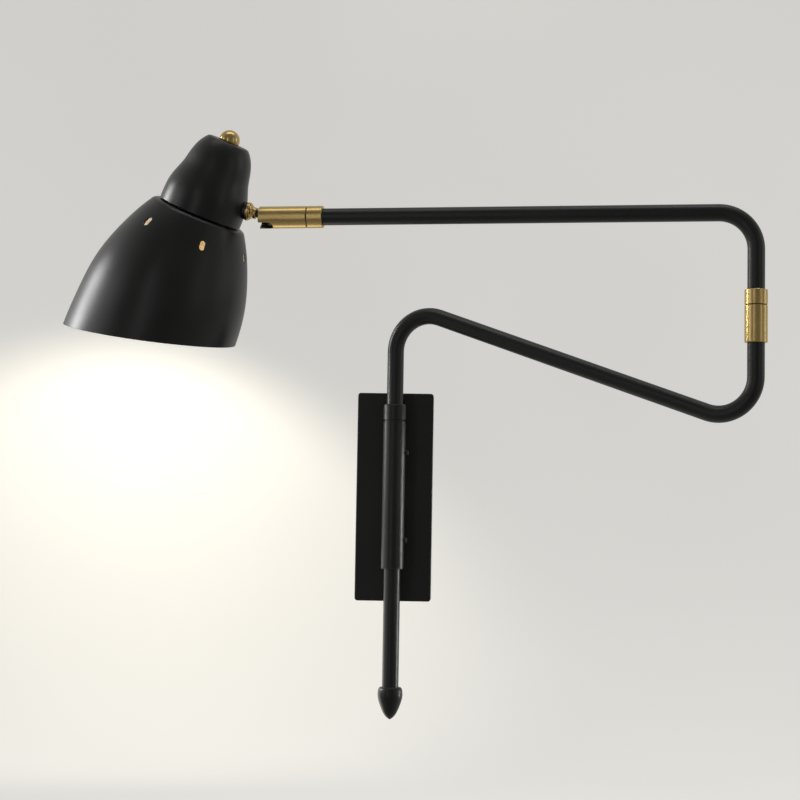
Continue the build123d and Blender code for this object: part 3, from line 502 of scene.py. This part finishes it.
vent_count = 6
vent_first_angle = math.radians(-2.2)
vent_slope = math.radians(26.5)
vent_radius = 57.7
vent_depth = 23.2
vent_length = 9.5
vent_width = 5.0
cutter_reach = 4.0
shade = add_object("shade_spun", shade_mesh)
cutters = []
for number in range(vent_count):
    angle = vent_first_angle + 2 * math.pi * number / vent_count
    outwards = Vector((math.cos(angle), math.sin(angle), 0))
    normal = outwards * math.cos(vent_slope) + up_axis * math.sin(vent_slope)
    lengthwise = up_axis * math.cos(vent_slope) - outwards * math.sin(vent_slope)
    place = outwards * vent_radius * MM - up_axis * vent_depth * MM
    matrix = axes_matrix(place, lengthwise, normal.cross(lengthwise), normal)
    cutter = slot_prism(vent_length, vent_width, cutter_reach, matrix)
    cutters.append(add_object("vent_cutter", cutter))
cut(shade, cutters)
shade.data.transform(head_matrix)
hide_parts("shade")
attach(shade, "head")

# ------------------------------------------------------------------ camera
camera_data = bpy.data.cameras.new("camera")
camera_data.sensor_width = 36.0
camera_data.lens = 90.05
camera = bpy.data.objects.new("camera", camera_data)
scene.collection.objects.link(camera)
scene.camera = camera
camera_yaw = math.radians(-1.539)
camera_pitch = math.radians(4.356)
camera_roll = math.radians(0.967)
level = Vector((math.sin(camera_yaw), math.cos(camera_yaw), 0))
forward = level * math.cos(camera_pitch) + up_axis * math.sin(camera_pitch)
right = Vector((math.cos(camera_yaw), -math.sin(camera_yaw), 0))
upward = right.cross(forward)
turned_right = right * math.cos(camera_roll) + upward * math.sin(camera_roll)
turned_up = upward * math.cos(camera_roll) - right * math.sin(camera_roll)
camera_place = Vector((0.0572, -2.0, -0.0547))
camera.matrix_world = axes_matrix(camera_place, turned_right, turned_up, -forward)


# ------------------------------------------------------------------ stage
def stage_bowl():
    """A pale floor that curves up into a round wall, far behind the object on every side."""
    floor_height = -0.62
    wall_radius = 4.2
    curve = 1.3
    wall_height = 4.0
    around = 96
    profile = [(0.0, floor_height), (1.0, floor_height), (wall_radius - curve, floor_height)]
    for turn in np.linspace(0, math.pi / 2, 14)[1:]:
        profile.append(
            (
                wall_radius - curve + curve * math.sin(turn),
                floor_height + curve * (1 - math.cos(turn)),
            )
        )
    profile.append((wall_radius, wall_height))
    mesh = bmesh.new()
    rows = []
    for radius, height in profile:
        if radius == 0:
            rows.append([mesh.verts.new((0, 0, height))])
            continue
        rows.append(
            [
                mesh.verts.new((radius * math.cos(t), radius * math.sin(t), height))
                for t in np.linspace(0, 2 * math.pi, around + 1)[:-1]
            ]
        )
    for low, high in zip(rows, rows[1:]):
        for index in range(around):
            after = (index + 1) % around
            corners = (low[0],) if len(low) == 1 else (low[after], low[index])
            face = mesh.faces.new((*corners, high[index], high[after]))
            face.smooth = True
    bmesh.ops.recalc_face_normals(mesh, faces=mesh.faces)
    data = bpy.data.meshes.new("stage_bowl")
    mesh.to_mesh(data)
    mesh.free()
    build = Build("stage_paper")
    place = build.coordinates()
    cloud = build.noise(place, 0.8, 2.0)
    base = build.mix_colours(
        build.spread(cloud, 0.0, 1.0), (0.63, 0.624, 0.598), (0.66, 0.654, 0.626)
    )
    build.link(base, "Base Color")
    build.link(base, "Emission Color")
    build.set(Roughness=0.95, Specular_IOR_Level=0.0, Emission_Strength=0.74)
    data.materials.append(build.material)
    bowl = add_object("stage_bowl", data)
    bowl.visible_shadow = False
    bowl.visible_diffuse = False
    bowl.visible_glossy = False
    return bowl


stage_bowl()

world = bpy.data.worlds.new("studio")
world.use_nodes = True
sky = world.node_tree
direction = sky.nodes.new("ShaderNodeTexCoord").outputs["Generated"]
split = sky.nodes.new("ShaderNodeSeparateXYZ")
sky.links.new(direction, split.inputs[0])
share = sky.nodes.new("ShaderNodeMapRange")
share.inputs["From Min"].default_value = -0.7
share.inputs["From Max"].default_value = 0.5
share.inputs["To Min"].default_value = 0.19
share.inputs["To Max"].default_value = 0.55
sky.links.new(split.outputs["Y"], share.inputs["Value"])
sky.links.new(share.outputs["Result"], sky.nodes["Background"].inputs["Strength"])
sky.nodes["Background"].inputs["Color"].default_value = (1.0, 0.99, 0.97, 1)
scene.world = world


def look_at(position, target):
    direction = Vector(target) - Vector(position)
    return Matrix.Translation(position) @ direction.to_track_quat("-Z", "Y").to_matrix().to_4x4()


def softbox(name, position, target, width, height, energy, colour=(1, 1, 1)):
    data = bpy.data.lights.new(name, "AREA")
    data.shape = "RECTANGLE"
    data.size = width
    data.size_y = height
    data.energy = energy
    data.color = colour
    light = bpy.data.objects.new(name, data)
    light.matrix_world = look_at(position, target)
    light.visible_camera = False
    scene.collection.objects.link(light)
    return light


# Name, place, target, width, height and watts.
softboxes = [
    ("key_left", (-1.6, 0.25, 0.55), (-0.2, -0.1, 0.2), 0.45, 0.7, 18),
    ("fill_left", (-1.7, -0.8, 0.3), (0.0, -0.1, 0.1), 0.7, 1.3, 2.8),
    ("top", (0.1, -0.3, 2.0), (0.05, -0.1, 0.1), 1.8, 0.5, 6),
    ("right", (1.8, -0.1, 0.6), (0.1, -0.1, 0.2), 0.25, 1.1, 1.4),
    ("front_left", (-0.65, -1.9, 0.2), (0.3, -0.1, 0.1), 0.25, 1.5, 1.5),
    ("front_right", (1.6, -1.5, 0.3), (0.2, -0.1, 0.1), 0.3, 1.4, 1.2),
]
for name, place, target, width, height, watts in softboxes:
    softbox(name, place, target, width, height, watts)

# A narrow beam that draws the bright line down the right of the column.
column_light = softbox("column_right", (0.33, 0.02, -0.12), (0, -0.05, -0.12), 0.06, 0.36, 0.02)
column_light.data.spread = math.radians(16)
softbox("wall_glow", (-0.35, 0.12, -0.25), (-0.35, -1.0, -0.25), 0.5, 0.4, 1.0, (1, 0.95, 0.85))

# The lit pool on the paper behind the shade.
wash = bpy.data.lights.new("wall_wash", "SPOT")
wash.energy = 19
wash.color = (1.0, 0.92, 0.76)
wash.spot_size = math.radians(122)
wash.spot_blend = 0.5
wash.shadow_soft_size = 0.05
wash_light = bpy.data.objects.new("wall_wash", wash)
wash_light.matrix_world = look_at((-0.74, 3.45, 0.68), (-0.92, 3.92, -0.32))
wash_light.visible_camera = False
wash_light.visible_glossy = False
scene.collection.objects.link(wash_light)
